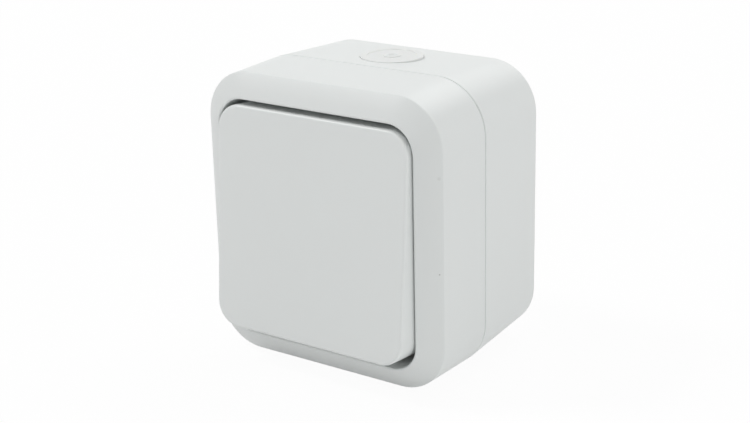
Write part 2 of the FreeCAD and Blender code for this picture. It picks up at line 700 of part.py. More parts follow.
def mechanism_frame():
    """The moulded frame that carries the cradle and closes the mechanism's body."""
    flange = slab(FLANGE_WIDTH / 2, FLANGE_HEIGHT / 2, BODY_CORNER, BODY_FRONT, STRAP_OUT)
    tower_top = PIVOT_OUT + TOWER_RISE
    tower = slab(TOWER_WIDTH / 2, TOWER_HEIGHT / 2, TOWER_CORNER, STRAP_OUT - FLANGE / 2, tower_top)
    posts = [rod(COVER_POST_R + POST_PLAY, x, z, BODY_FRONT - OVER, STRAP_OUT) for x, z in COVER_SCREWS]
    body = flange.cut(posts).fuse(tower)
    in_x = TOWER_WIDTH / 2 - TOWER_WALL
    in_z = TOWER_HEIGHT / 2 - TOWER_WALL
    body = body.cut(slab(in_x, in_z, TOWER_INNER_CORNER, STRAP_OUT, tower_top + OVER))
    cut_ends = (BODY_FRONT - OVER, STRAP_OUT + OVER)
    body = body.cut(block(-CHAMBER_HALF, CHAMBER_HALF, *cut_ends, -CHAMBER_END, CHAMBER_END))
    hole = Part.makeCylinder(AXLE_R + AXLE_PLAY, TOWER_WIDTH + 2 * OVER,
                             Vector(-TOWER_WIDTH / 2 - OVER, -PIVOT_OUT, 0), Vector(1, 0, 0))
    body = body.cut(hole)
    solids = []
    for side in (-1, 1):
        for z in (-CLIP_Z, CLIP_Z):
            solids.append(frame_clip(side, z))
        for z in (-STAKE_Z, STAKE_Z):
            x = side * STAKE_X
            solids.append(rod(STAKE_R, x, z, STRAP_OUT - FLANGE / 2, STRAP_FRONT + STAKE_HEAD))
            solids.append(rod(STAKE_HEAD_R, x, z, STRAP_FRONT, STRAP_FRONT + STAKE_HEAD))
    return body.fuse(solids).removeSplitter()


def frame_clip(side, z):
    """One leg that snaps into the side of the mechanism's body."""
    outer = BODY_WIDTH / 2
    inner = outer - CLIP_THICK
    back = BODY_FRONT - CLIP_LENGTH
    half = CLIP_WIDTH / 2
    low, high = sorted((side * inner, side * outer))
    leg = block(low, high, back, BODY_FRONT + FLANGE / 2, z - half, z + half)
    low, high = sorted((side * (inner - CLIP_BARB), side * inner))
    barb = block(low, high, back, back + CLIP_BARB_LENGTH, z - half, z + half)
    return leg.fuse(barb)


def mounting_strap():
    """The steel plate that holds the mechanism in the box."""
    plate = slab(FLANGE_WIDTH / 2, FLANGE_HEIGHT / 2, BODY_CORNER, STRAP_OUT, STRAP_FRONT)
    ears = slab(STRAP_WIDTH / 2, STRAP_EAR / 2, STRAP_EAR_CORNER, STRAP_OUT, STRAP_FRONT)
    plate = plate.fuse(ears)
    open_x = TOWER_WIDTH / 2 + STRAP_PLAY
    open_z = TOWER_HEIGHT / 2 + STRAP_PLAY
    cut_ends = (STRAP_OUT - OVER, STRAP_FRONT + OVER)
    plate = plate.cut(slab(open_x, open_z, TOWER_CORNER + STRAP_PLAY, *cut_ends))
    for x, z in STRAP_SCREWS:
        plate = plate.cut(rod(SCREW_R + HOLE_PLAY, x, z, *cut_ends))
    for x, z in COVER_SCREWS:
        plate = plate.cut(rod(COVER_BOSS_R + POST_PLAY, x, z, *cut_ends))
    for side in (-1, 1):
        for z in (-STAKE_Z, STAKE_Z):
            plate = plate.cut(rod(STAKE_R + STRAP_PLAY, side * STAKE_X, z, *cut_ends))
    return plate.removeSplitter()


def mechanism_seal():
    """Sealing ring between the strap and the cover's collar."""
    half_x = TOWER_WIDTH / 2 + SEAL_PLAY
    half_z = TOWER_HEIGHT / 2 + SEAL_PLAY
    corner = TOWER_CORNER + SEAL_PLAY
    outer = slab(half_x + SEAL_WIDTH, half_z + SEAL_WIDTH, corner + SEAL_WIDTH, STRAP_FRONT, SEAL_OUT)
    return outer.cut(slab(half_x, half_z, corner, STRAP_FRONT, SEAL_OUT))


def terminal_pocket(angle):
    """What one terminal takes out of the mechanism's body."""
    start = CAGE_START - CAGE_PLAY
    end = CAGE_END + CAGE_PLAY
    half = CAGE_WIDTH / 2 + CAGE_PLAY
    pocket = block(start, end, CAGE_OUT, BODY_FRONT + OVER, -half, half)
    wall = max(BODY_WIDTH, BODY_HEIGHT) / 2
    access = Part.makeCylinder(TERMINAL_HEAD_R + TERMINAL_HEAD_PLAY, wall - end + 2 * OVER,
                               Vector(end - OVER, -SCREW_OUT, 0), Vector(1, 0, 0))
    wire_x = LEG_RADIUS + STRIP + (CAGE_SPACE - STRIP) / 2
    holes = []
    for z in (-WIRE_HOLE_OFFSET, WIRE_HOLE_OFFSET):
        holes.append(rod(WIRE_HOLE_R, wire_x, z, BODY_BACK - OVER, CAGE_OUT + OVER))
    return about_centre(pocket.fuse([access] + holes), angle)


def mechanism_body():
    """The insulating body that holds the terminals."""
    body = slab(BODY_WIDTH / 2, BODY_HEIGHT / 2, BODY_CORNER, BODY_BACK, BODY_FRONT)
    body = body.makeFillet(BODY_EDGE, level_edges(body, BODY_BACK))
    front = BODY_FRONT + OVER
    cuts = [block(-CHAMBER_HALF, CHAMBER_HALF, COMMON_OUT, front, -LEDGE_Z, LEDGE_Z)]
    cuts.append(block(-CHAMBER_HALF, CHAMBER_HALF, STRIP_OUT, front, -CHAMBER_END, CHAMBER_END))
    channel = STRIP_WIDTH / 2 + CAGE_PLAY
    cuts.append(block(0, LEG_RADIUS, COMMON_OUT, front, -channel, channel))
    for z in (-CONTACT_Z, CONTACT_Z):
        cuts.append(rod(RIVET_TAIL_R + CAGE_PLAY, 0, z, STRIP_OUT - RIVET_TAIL - CAGE_PLAY, BODY_FRONT))
    for angle in TERMINALS.values():
        cuts.append(terminal_pocket(angle))
    for side in (-1, 1):
        for z in (-CLIP_Z, CLIP_Z):
            cuts.append(clip_channel(side, z))
    return body.cut(cuts).removeSplitter()


def clip_channel(side, z):
    """The groove and the window for one of the frame's legs."""
    outer = BODY_WIDTH / 2 + OVER
    inner = BODY_WIDTH / 2 - CLIP_THICK - CLIP_PLAY
    back = BODY_FRONT - CLIP_LENGTH - CLIP_PLAY
    half = CLIP_WIDTH / 2 + CLIP_PLAY
    low, high = sorted((side * inner, side * outer))
    groove = block(low, high, back, BODY_FRONT + OVER, z - half, z + half)
    low, high = sorted((side * (inner - CLIP_BARB), side * outer))
    window = block(low, high, back, back + CLIP_BARB_LENGTH + 2 * CLIP_PLAY, z - half, z + half)
    return groove.fuse(window)


def contact_strip():
    """A bent strip from the contact to the cage, on the +X side, before it is turned."""
    half = STRIP_WIDTH / 2
    bar = block(STRIP_START, LEG_RADIUS + STRIP, STRIP_OUT, STRIP_OUT + STRIP, -half, half)
    leg = block(LEG_RADIUS, LEG_RADIUS + STRIP, CAGE_OUT, STRIP_OUT + STRIP, -half, half)
    bent = bar.fuse(leg).removeSplitter()
    outer = [e for e in bent.Edges if corner_edge(e, LEG_RADIUS + STRIP, STRIP_OUT + STRIP)]
    bent = bent.makeFillet(STRIP_BEND, outer)
    return bent.cut(rod(RIVET_R + RIVET_PLAY, CONTACT_Z, 0, STRIP_OUT - OVER, STRIP_OUT + STRIP + OVER))


def corner_edge(edge, x, out):
    """Whether an edge runs along Z at one place."""
    tolerance = 0.04
    span = edge.BoundBox
    return abs(span.XMin - x) + abs(span.XMax - x) + abs(span.YMin + out) + abs(span.YMax + out) < tolerance


def common_terminal():
    """The strip with the ridge that the contact lever rocks on."""
    half = STRIP_WIDTH / 2
    ridge_half = LEVER_WIDTH / 2
    front = COMMON_OUT + STRIP
    base = block(-ridge_half, LEG_RADIUS + STRIP, COMMON_OUT, front, -half, half)
    leg = block(LEG_RADIUS, LEG_RADIUS + STRIP, CAGE_OUT, front, -half, half)
    bent = base.fuse(leg).removeSplitter()
    outer = [e for e in bent.Edges if corner_edge(e, LEG_RADIUS + STRIP, front)]
    bent = bent.makeFillet(STRIP_BEND, outer)
    ridge = block(-ridge_half, ridge_half, COMMON_OUT + STRIP / 2, FULCRUM_OUT, -FULCRUM_R, FULCRUM_R)
    crest = Part.makeCylinder(FULCRUM_R, LEVER_WIDTH, Vector(-ridge_half, -FULCRUM_OUT, 0), Vector(1, 0, 0))
    return bent.fuse([ridge, crest]).removeSplitter()


def terminal_cage(angle):
    """The brass clamp of one terminal."""
    half = CAGE_WIDTH / 2
    front = CAGE_OUT + CAGE_LENGTH
    cage = block(CAGE_START, CAGE_END, CAGE_OUT, front, -half, half)
    space_end = CAGE_END - CAGE_FRONT
    inner = half - CAGE_SIDE
    cage = cage.cut(block(LEG_RADIUS, space_end, CAGE_OUT - OVER, front + OVER, -inner, inner))
    hole = Part.makeCylinder(TERMINAL_SCREW_R + SCREW_PLAY, CAGE_FRONT + 2 * OVER,
                             Vector(space_end - OVER, -SCREW_OUT, 0), Vector(1, 0, 0))
    return about_centre(cage.cut(hole), angle)


def terminal_screw(angle):
    """The clamp screw of one terminal, with a slot drive."""
    head_start = CAGE_END + TERMINAL_STAND
    tip = CAGE_END - CAGE_FRONT - TERMINAL_GRIP
    head_end = head_start + TERMINAL_HEAD
    profile = [(tip, TERMINAL_SCREW_R - TERMINAL_POINT), (tip + TERMINAL_POINT, TERMINAL_SCREW_R)]
    profile += [(head_start, TERMINAL_SCREW_R), (head_start, TERMINAL_HEAD_R), (head_end, TERMINAL_HEAD_R)]
    shape = turned(profile, Vector(0, -SCREW_OUT, 0), Vector(1, 0, 0))
    half = DRIVE_SLOT / 2
    reach = TERMINAL_HEAD_R + OVER
    slot = block(head_end - DRIVE_DEPTH, head_end + OVER, SCREW_OUT - reach, SCREW_OUT + reach, -half, half)
    return about_centre(shape.cut(slot), angle)


def fixed_contact(z):
    """A contact rivet in one of the fixed strips."""
    out = Vector(0, -1, 0)
    face = STRIP_OUT + STRIP
    head = rod(CONTACT_R, 0, z, face, face + FIXED_CONTACT)
    shank = rod(RIVET_R, 0, z, STRIP_OUT - RIVET_TAIL / 2, face + FIXED_CONTACT / 2)
    tail = dome(RIVET_TAIL_R, RIVET_TAIL, Vector(0, -STRIP_OUT, z), out * -1)
    return head.fuse([shank, tail])


def contact_lever():
    """The seesaw that joins the common terminal to one fixed contact."""
    half = LEVER_WIDTH / 2
    front = FULCRUM_OUT + LEVER_THICK
    beam = slab(half, LEVER_HALF, LEVER_CORNER, FULCRUM_OUT, front)
    groove = Part.makeCylinder(FULCRUM_R + AXLE_PLAY, LEVER_WIDTH + 2 * OVER,
                               Vector(-half - OVER, -FULCRUM_OUT, 0), Vector(1, 0, 0))
    beam = beam.cut(groove)
    for z in (-CONTACT_Z, CONTACT_Z):
        beam = beam.cut(rod(RIVET_R + RIVET_PLAY, 0, z, FULCRUM_OUT - OVER, front + OVER))
    return swung(beam)


def moving_contact(z):
    """A domed contact rivet in one end of the lever."""
    out = Vector(0, -1, 0)
    front = FULCRUM_OUT + LEVER_THICK
    button = dome(CONTACT_R, MOVING_CONTACT, Vector(0, -FULCRUM_OUT, z), out * -1)
    shank = rod(RIVET_R, 0, z, FULCRUM_OUT - MOVING_CONTACT / 2, front + RIVET_TAIL / 2)
    tail = dome(RIVET_TAIL_R, RIVET_TAIL, Vector(0, -front, z), out)
    return swung(button.fuse([shank, tail]))


def strap_screws():
    """The two screws that hold the strap."""
    sizes = (STRAP_FRONT, STRAP_SCREW_GRIP, SCREW_R, SCREW_HEAD_R, SCREW_HEAD)
    return [screw(x, z, *sizes) for x, z in STRAP_SCREWS]


def cover_screws():
    """The two cover screws, hidden under the rocker."""
    seat = FLOOR_OUT - COVER_SEAT_DROP
    grip = seat - STRAP_OUT + COVER_SCREW_GRIP
    sizes = (seat, grip, SCREW_R, SCREW_HEAD_R, SCREW_HEAD)
    return [screw(x, z, *sizes) for x, z in COVER_SCREWS]


def pieces():
    """Every piece by its name. A list is a group of like pieces."""
    parts = {
        "back_box": back_box(),
        "box_gasket": box_gasket(),
        "front_cover": front_cover(),
        "rocker": rocker(),
        "cradle": cradle(),
        "plunger": plunger(),
        "plunger_spring": plunger_spring(),
        "mechanism_frame": mechanism_frame(),
        "mechanism_body": mechanism_body(),
        "mechanism_seal": mechanism_seal(),
        "mounting_strap": mounting_strap(),
        "contact_lever": contact_lever(),
        "moving_contacts": [moving_contact(-CONTACT_Z), moving_contact(CONTACT_Z)],
        "fixed_contacts": [fixed_contact(-CONTACT_Z), fixed_contact(CONTACT_Z)],
        "common_terminal": common_terminal(),
        "upper_terminal": about_centre(contact_strip(), TERMINALS["upper"]),
        "lower_terminal": about_centre(contact_strip(), TERMINALS["lower"]),
        "terminal_screws": [terminal_screw(angle) for angle in TERMINALS.values()],
        "strap_screws": strap_screws(),
        "cover_screws": cover_screws(),
        "upper_cable_membrane": cable_membrane(ENTRY_PROUD),
        "lower_cable_membrane": mirrored_down(cable_membrane(ENTRY_SUNK)),
    }
    for name, angle in TERMINALS.items():
        parts[name + "_terminal_cage"] = terminal_cage(angle)
    return parts


os.makedirs("parts", exist_ok=True)
for node, shape in pieces().items():
    solid = Part.Compound(shape) if isinstance(shape, list) else shape
    solid.exportStep("parts/" + node + ".step")
    print(node, "valid" if solid.isValid() else "NOT VALID", len(solid.Solids), round(solid.Volume, 1))
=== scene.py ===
"""The looks of a sealed, surface mounted light switch, put on in the order it is put together."""
import math

import bpy
from mathutils import Matrix, Quaternion, Vector


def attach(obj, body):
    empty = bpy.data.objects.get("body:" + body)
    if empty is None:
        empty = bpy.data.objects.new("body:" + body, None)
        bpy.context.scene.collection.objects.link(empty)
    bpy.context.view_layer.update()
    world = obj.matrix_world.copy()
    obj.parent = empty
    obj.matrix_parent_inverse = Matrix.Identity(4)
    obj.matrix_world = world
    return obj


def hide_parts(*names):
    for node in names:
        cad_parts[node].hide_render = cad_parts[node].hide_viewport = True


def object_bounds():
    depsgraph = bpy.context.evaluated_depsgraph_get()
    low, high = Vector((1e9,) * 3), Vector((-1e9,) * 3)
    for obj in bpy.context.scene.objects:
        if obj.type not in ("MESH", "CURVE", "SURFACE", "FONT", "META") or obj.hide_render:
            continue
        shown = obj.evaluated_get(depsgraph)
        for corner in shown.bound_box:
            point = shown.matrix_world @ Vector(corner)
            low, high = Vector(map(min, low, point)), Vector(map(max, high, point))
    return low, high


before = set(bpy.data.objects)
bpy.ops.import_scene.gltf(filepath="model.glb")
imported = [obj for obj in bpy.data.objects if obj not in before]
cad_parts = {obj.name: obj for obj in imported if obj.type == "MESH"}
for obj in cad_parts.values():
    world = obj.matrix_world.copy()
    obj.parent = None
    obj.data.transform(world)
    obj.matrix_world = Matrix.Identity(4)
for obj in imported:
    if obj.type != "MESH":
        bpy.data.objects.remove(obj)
cad_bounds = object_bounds()


# The box: one moulding of white ABS that is screwed to the wall through its back. The spark-eroded
# tool leaves a fine satin grain on it, and the plastic is a slightly cool white.
class Socket:
    """One socket of a finish. Arithmetic on it adds Math nodes, so a mask reads as a formula."""

    def __init__(self, tree, link):
        self.tree = tree
        self.link = link

    def node(self, kind, settings, inputs, output=0):
        """Adds a node. Its settings come first, then the values or the links of its sockets."""
        made = self.tree.nodes.new(kind)
        for name, value in settings.items():
            setattr(made, name, value)
        for name, value in inputs.items():
            if isinstance(value, Socket):
                self.tree.links.new(value.link, made.inputs[name])
            else:
                made.inputs[name].default_value = value
        return Socket(self.tree, made.outputs[output])

    def maths(self, operation, first, second):
        return self.node("ShaderNodeMath", {"operation": operation}, {0: first, 1: second})

    def __add__(self, other):
        return self.maths("ADD", self, other)

    def __radd__(self, other):
        return self.maths("ADD", other, self)

    def __mul__(self, other):
        return self.maths("MULTIPLY", self, other)

    def __rmul__(self, other):
        return self.maths("MULTIPLY", other, self)


def new_finish(name):
    """An empty finish, and the place on the piece that its patterns follow."""
    material = bpy.data.materials.new(name)
    material.use_nodes = True
    material.node_tree.nodes.clear()
    start = Socket(material.node_tree, None)
    return material, start.node("ShaderNodeTexCoord", {}, {}, "Object")


def show(shader, kind="ShaderNodeOutputMaterial"):
    """Joins a finish's last shader to its output."""
    output = shader.tree.nodes.new(kind)
    shader.tree.links.new(shader.link, output.inputs["Surface"])


def uneven(place, size, detail, stretch=(1, 1, 1)):
    """Patches of about this size, from 0 to 1, drawn out along an axis whose stretch is small."""
    along = place.node("ShaderNodeVectorMath", {"operation": "MULTIPLY"}, {0: place, 1: stretch})
    return place.node("ShaderNodeTexNoise", {}, {"Vector": along, "Scale": 1 / size, "Detail": detail})


def between(share, first, second):
    """A colour that runs from the first to the second as share goes from 0 to 1."""
    return share.node("ShaderNodeMix", {"data_type": "RGBA"}, {"Factor": share, "A": first, "B": second}, 2)


def grained(height, depth):
    """Normals that follow a pattern of this depth in metres."""
    return height.node("ShaderNodeBump", {}, {"Height": height, "Distance": depth, "Strength": 1.0})


def speck(place, centre, radius):
    """1 in the middle of a small round mark, and 0 from its edge outwards. Lengths are metres."""
    away = place.node("ShaderNodeVectorMath", {"operation": "DISTANCE"}, {0: place, 1: centre}, "Value")
    return place.node("ShaderNodeMapRange", {}, {
        "Value": away, "From Min": radius / 2, "From Max": radius, "To Min": 1.0, "To Max": 0.0})


def plastic(name, pale, deep, satin, grain_size, grain_depth, streaks=(1, 1, 1), specks=()):
    """Moulded plastic: slow flow shading, uneven satin, a fine tool grain and a few wide ripples."""
    material, place = new_finish(name)
    flow = uneven(place, FLOW_SIZE, detail=3.0, stretch=streaks)
    colour = between(flow, deep, pale)
    for centre, radius, tone in specks:
        colour = between(speck(place, centre, radius), colour, tone)
    grain = uneven(place, grain_size, detail=4.0)
    pits = uneven(place, grain_size * PIT_SPREAD, detail=1.0)
    roughness = satin - SATIN_SPREAD + flow * SATIN_SPREAD + grain * SATIN_SPREAD
    relief = grain + pits * PIT_SHARE
    shader = place.node("ShaderNodeBsdfPrincipled", {}, {
        "Base Color": colour, "Roughness": roughness, "Normal": grained(relief, grain_depth),
        "IOR": PLASTIC_IOR, "Subsurface Weight": PLASTIC_MILKY, "Subsurface Radius": SOAK,
        "Subsurface Scale": PLASTIC_SOAK})
    show(shader)
    return material


def dress(material, *nodes):
    """Puts a finish on pieces of the frame."""
    for node in nodes:
        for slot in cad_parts[node].material_slots:
            slot.material = material


PLASTIC_IOR = 1.5
PLASTIC_MILKY = 0.05
PLASTIC_SOAK = 0.0008
SOAK = (1.0, 0.95, 0.9)
FLOW_SIZE = 0.035
SATIN_SPREAD = 0.05
PIT_SPREAD = 3.1
PIT_SHARE = 0.6
BOX_WHITE = (0.792, 0.815, 0.806, 1)
BOX_WHITE_DEEP = (0.778, 0.803, 0.794, 1)
SATIN = 0.42
GRAIN = 0.00030
GRAIN_DEPTH = 0.000008
housing_plastic = plastic("housing_plastic", BOX_WHITE, BOX_WHITE_DEEP, SATIN, GRAIN, GRAIN_DEPTH)
dress(housing_plastic, "back_box")


# The two cable membranes: soft grommets of white thermoplastic rubber, pushed into the round
# entries. They are more matt than the box and milky, a touch warmer, and take up a trace of dust.
def rubber(name, clean, dusty, matt, skin_size, skin_depth, milky):
    """Soft rubber: a dry skin with a faint bloom of dust in patches, milky where light soaks in."""
    material, place = new_finish(name)
    bloom = uneven(place, BLOOM_SIZE, detail=5.0)
    skin = uneven(place, skin_size, detail=3.0)
    roughness = matt + bloom * BLOOM_MATT + skin * SKIN_MATT
    shader = place.node("ShaderNodeBsdfPrincipled", {}, {
        "Base Color": between(bloom, clean, dusty), "Roughness": roughness,
        "Normal": grained(skin, skin_depth), "IOR": RUBBER_IOR, "Subsurface Weight": milky,
        "Subsurface Radius": SOAK, "Subsurface Scale": RUBBER_SOAK})
    show(shader)
    return material


RUBBER_IOR = 1.48
RUBBER_SOAK = 0.0015
BLOOM_SIZE = 0.006
BLOOM_MATT = 0.08
SKIN_MATT = 0.05
MEMBRANE_WHITE = (0.800, 0.817, 0.806, 1)
MEMBRANE_DUSTY = (0.788, 0.803, 0.788, 1)
soft_membrane = rubber("soft_membrane", MEMBRANE_WHITE, MEMBRANE_DUSTY,
                       matt=0.55, skin_size=0.00022, skin_depth=0.000008, milky=0.5)
dress(soft_membrane, "upper_cable_membrane", "lower_cable_membrane")


# The contact strips and the seesaw lever: stamped and bent from copper alloy strip. The rolling
# leaves lines along the strip, and the bare metal has tarnished a little in patches.
def metal(name, bright, dull, matt, line_size, line_depth, lines=(1, 1, 1)):
    """Bare or plated metal: drawn or rolled lines, and duller patches where it was handled."""
    material, place = new_finish(name)
    patches = uneven(place, PATCH_SIZE, detail=4.0)
    marks = uneven(place, line_size, detail=3.0, stretch=lines)
    dullness = patches * PATCH_SHARE + marks * MARK_SHARE
    roughness = matt + patches * PATCH_MATT + marks * MARK_MATT
    shader = place.node("ShaderNodeBsdfPrincipled", {}, {
        "Base Color": between(dullness, bright, dull), "Roughness": roughness,
        "Normal": grained(marks, line_depth), "Metallic": 1.0})
    show(shader)
    return material


PATCH_SIZE = 0.004
PATCH_SHARE = 0.7
MARK_SHARE = 0.3
PATCH_MATT = 0.12
MARK_MATT = 0.10
STRIP_BRIGHT = (0.800, 0.520, 0.330, 1)
STRIP_DULL = (0.600, 0.350, 0.210, 1)
ROLLED_UPRIGHT = (0.3, 1, 0.06)
copper_alloy = metal("copper_alloy", STRIP_BRIGHT, STRIP_DULL,
                     matt=0.20, line_size=0.00020, line_depth=0.000003, lines=ROLLED_UPRIGHT)
dress(copper_alloy, "common_terminal", "upper_terminal", "lower_terminal", "contact_lever")


# The contact rivets: silver alloy heads, pressed into the strips and the lever. Their domes are
# turned, and have yellowed slightly in the air.
SILVER = (0.860, 0.850, 0.820, 1)
SILVER_YELLOWED = (0.720, 0.680, 0.600, 1)
contact_metal = metal("contact_metal", SILVER, SILVER_YELLOWED,
                      matt=0.16, line_size=0.00015, line_depth=0.000002)
dress(contact_metal, "fixed_contacts", "moving_contacts")


# The three terminal cages: brass clamps, each bent round from one blank, that the screw draws
# together on the wire. They carry the rolling lines all over.
BRASS = (0.830, 0.660, 0.330, 1)
BRASS_DULL = (0.620, 0.450, 0.200, 1)
ROLLED_OUTWARDS = (1, 0.06, 1)
brass_clamp = metal("brass_clamp", BRASS, BRASS_DULL,
                    matt=0.22, line_size=0.00018, line_depth=0.000003, lines=ROLLED_OUTWARDS)
dress(brass_clamp, "common_terminal_cage", "upper_terminal_cage", "lower_terminal_cage")


# The three terminal screws: M3 in zinc plated steel, with a rolled thread and a slotted cheese
# head. Each stands in its cage and points away from the middle of the mechanism.
def thread_radius(along, angle, screw):
    """A thread's radius at one point: a flat crest, sloping flanks and a root, faded at both ends."""
    turn = (along / screw["pitch"] - angle / (2 * math.pi)) % 1
    flank = min(1.0, max(0.0, (abs(turn - 0.5) - CREST_HALF) / FLANK))
    fade = min(1.0, max(0.0, (along - screw["thread_start"]) / screw["pitch"] + THREAD_LEAD))
    fade *= min(1.0, max(0.0, (screw["thread_end"] - along) / screw["pitch"]))
    root = screw["radius"] - screw["depth"]
    return root + screw["depth"] * (1 - flank) * fade


def ring_mesh(name, rings):
    """A closed body from rings of points, each ring as long as the last."""
    steps = len(rings[0])
    points = [point for ring in rings for point in ring]
    faces = [tuple(reversed(range(steps))), tuple(range(len(points) - steps, len(points)))]
    for ring in range(len(rings) - 1):
        for step in range(steps):
            here = ring * steps + step
            beside = ring * steps + (step + 1) % steps
            faces.append((here, beside, beside + steps, here + steps))
    mesh = bpy.data.meshes.new(name)
    mesh.from_pydata(points, [], faces)
    return mesh


def prism(name, corners, low, high, taper):
    """A straight cutter over an outline of corners, smaller at its low end by the taper."""
    rings = [[(x * share, y * share, z) for x, y in corners] for z, share in ((low, taper), (high, 1.0))]
    return ring_mesh(name, rings)


def cut_and_placed(name, body, cutter, place):
    """The body with the cutter's shape taken out of it, moved to its place in the frame."""
    holder = bpy.data.objects.new(name, body)
    knife = bpy.data.objects.new(name + "_drive", cutter)
    for piece in (holder, knife):
        bpy.context.scene.collection.objects.link(piece)
    cut = holder.modifiers.new("drive", "BOOLEAN")
    cut.object = knife
    cut.solver = "EXACT"
    bpy.context.view_layer.update()
    shaped = bpy.data.meshes.new_from_object(holder.evaluated_get(bpy.context.evaluated_depsgraph_get()))
    shaped.transform(place)
    for piece in (holder, knife):
        bpy.data.objects.remove(piece)
    return shaped


def driven(name, screw, cutter, place):
    """One screw, its head outwards along the place's Z and its seat at 0. Lengths are millimetres."""
    stations = []
    rows = math.ceil(screw["length"] / screw["pitch"] * THREAD_ROWS)
    for row in range(rows + 1):
        stations.append((-screw["length"] + screw["length"] * row / rows, None))
    stations[-1] = (0.0, screw["radius"])
    stations.insert(0, (-screw["length"], screw["radius"] * TIP_SHARE))
    head = [(0.0, screw["head_r"] - screw["edge"] / 2), (screw["edge"] / 2, screw["head_r"])]
    for step in range(HEAD_STEPS + 1):
        rise = math.radians(90 * step / HEAD_STEPS)
        crown = screw["head"] - screw["edge"] + screw["edge"] * math.sin(rise)
        head.append((crown, screw["head_r"] - screw["edge"] * (1 - math.cos(rise))))
    rings = []
    for along, radius in stations + head:
        ring = []
        for step in range(ROUND_STEPS):
            angle = 2 * math.pi * step / ROUND_STEPS
            reach = thread_radius(along, angle, screw) if radius is None else radius
            ring.append((reach * math.cos(angle), reach * math.sin(angle), along))
        rings.append(ring)
    return cut_and_placed(name, ring_mesh(name, rings), cutter, place @ Matrix.Scale(MILLIMETRE, 4))


def as_piece(name, meshes, material, node, body):
    """Joins meshes into one piece that stands for a node, and gives it the node's finish and body."""
    points, faces = [], []
    for mesh in meshes:
        start = len(points)
        points += [tuple(vertex.co) for vertex in mesh.vertices]
        faces += [tuple(start + corner for corner in face.vertices) for face in mesh.polygons]
    joined = bpy.data.meshes.new(name)
    joined.from_pydata(points, [], faces)
    joined.polygons.foreach_set("use_smooth", [True] * len(joined.polygons))
    joined.set_sharp_from_angle(angle=math.radians(SHARP_EDGE))
    joined.materials.append(material)
    piece = bpy.data.objects.new(name, joined)
    bpy.context.scene.collection.objects.link(piece)
    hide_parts(node)
    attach(piece, body)


def facing(way, place):
    """The move that turns Z to face this way at this place, in millimetres from the middle."""
    turn = Vector((0, 0, 1)).rotation_difference(Vector(way)).to_matrix().to_4x4()
    return Matrix.Translation(Vector(place) * MILLIMETRE) @ turn


MILLIMETRE = 0.001
CREST_HALF = 0.08
FLANK = 0.30
THREAD_LEAD = 0.4
THREAD_ROWS = 12
TIP_SHARE = 0.6
HEAD_STEPS = 6
ROUND_STEPS = 40
SHARP_EDGE = 32
TERMINAL_SCREW = {"radius": 1.5, "pitch": 0.5, "depth": 0.29, "length": 4.3, "thread_start": -4.3,
                  "thread_end": -0.3, "head_r": 2.6, "head": 1.8, "edge": 0.2}
TERMINAL_SEAT = 18.2
TERMINAL_OUT = 16.35
SLOT_HALF = 0.4
SLOT_REACH = 3.0
SLOT_FLOOR = 0.9
ZINC = (0.660, 0.675, 0.690, 1)
ZINC_DULL = (0.480, 0.500, 0.515, 1)
screw_steel = metal("screw_steel", ZINC, ZINC_DULL, matt=0.24, line_size=0.00020, line_depth=0.000003)
slot_corners = [(x * SLOT_REACH, z * SLOT_HALF) for x, z in ((-1, -1), (1, -1), (1, 1), (-1, 1))]
terminal_meshes = []
for way in ((1, 0, 0), (0, 0, 1), (0, 0, -1)):
    slot_cutter = prism("slot", slot_corners, SLOT_FLOOR, SLOT_REACH, 1.0)
    seat = Vector(way) * TERMINAL_SEAT + Vector((0, -TERMINAL_OUT, 0))
    terminal_meshes.append(driven("terminal_screw", TERMINAL_SCREW, slot_cutter, facing(way, seat)))
as_piece("threaded_terminal_screws", terminal_meshes, screw_steel,
         node="terminal_screws", body="housing")


# The mechanism's body and the frame that closes it: insulating polyamide, the body with glass
# fibre that shows as faint streaks. The frame carries the cradle and is staked to the strap.
BODY_GREY = (0.580, 0.595, 0.585, 1)
BODY_GREY_DEEP = (0.500, 0.515, 0.505, 1)
FRAME_GREY = (0.720, 0.730, 0.720, 1)
FRAME_GREY_DEEP = (0.685, 0.698, 0.688, 1)
GLASS_STREAKS = (4, 4, 0.5)
body_plastic = plastic("body_plastic", BODY_GREY, BODY_GREY_DEEP,
                       satin=0.58, grain_size=0.00025, grain_depth=0.000010, streaks=GLASS_STREAKS)
frame_plastic = plastic("frame_plastic", FRAME_GREY, FRAME_GREY_DEEP,
                        satin=0.50, grain_size=0.00025, grain_depth=0.000008)
dress(body_plastic, "mechanism_body")
dress(frame_plastic, "mechanism_frame")


# The cradle and the plunger: acetal, which slides without grease. The cradle is off-white and
# the plunger dark grey, and both have the waxy gloss of that plastic.
CRADLE_WHITE = (0.780, 0.780, 0.755, 1)
CRADLE_WHITE_DEEP = (0.745, 0.745, 0.715, 1)
PLUNGER_GREY = (0.230, 0.240, 0.250, 1)
PLUNGER_GREY_DEEP = (0.180, 0.190, 0.198, 1)
cradle_plastic = plastic("cradle_plastic", CRADLE_WHITE, CRADLE_WHITE_DEEP,
                         satin=0.36, grain_size=0.00035, grain_depth=0.000006)
plunger_plastic = plastic("plunger_plastic", PLUNGER_GREY, PLUNGER_GREY_DEEP,
                          satin=0.33, grain_size=0.00030, grain_depth=0.000005)
dress(cradle_plastic, "cradle")
dress(plunger_plastic, "plunger")

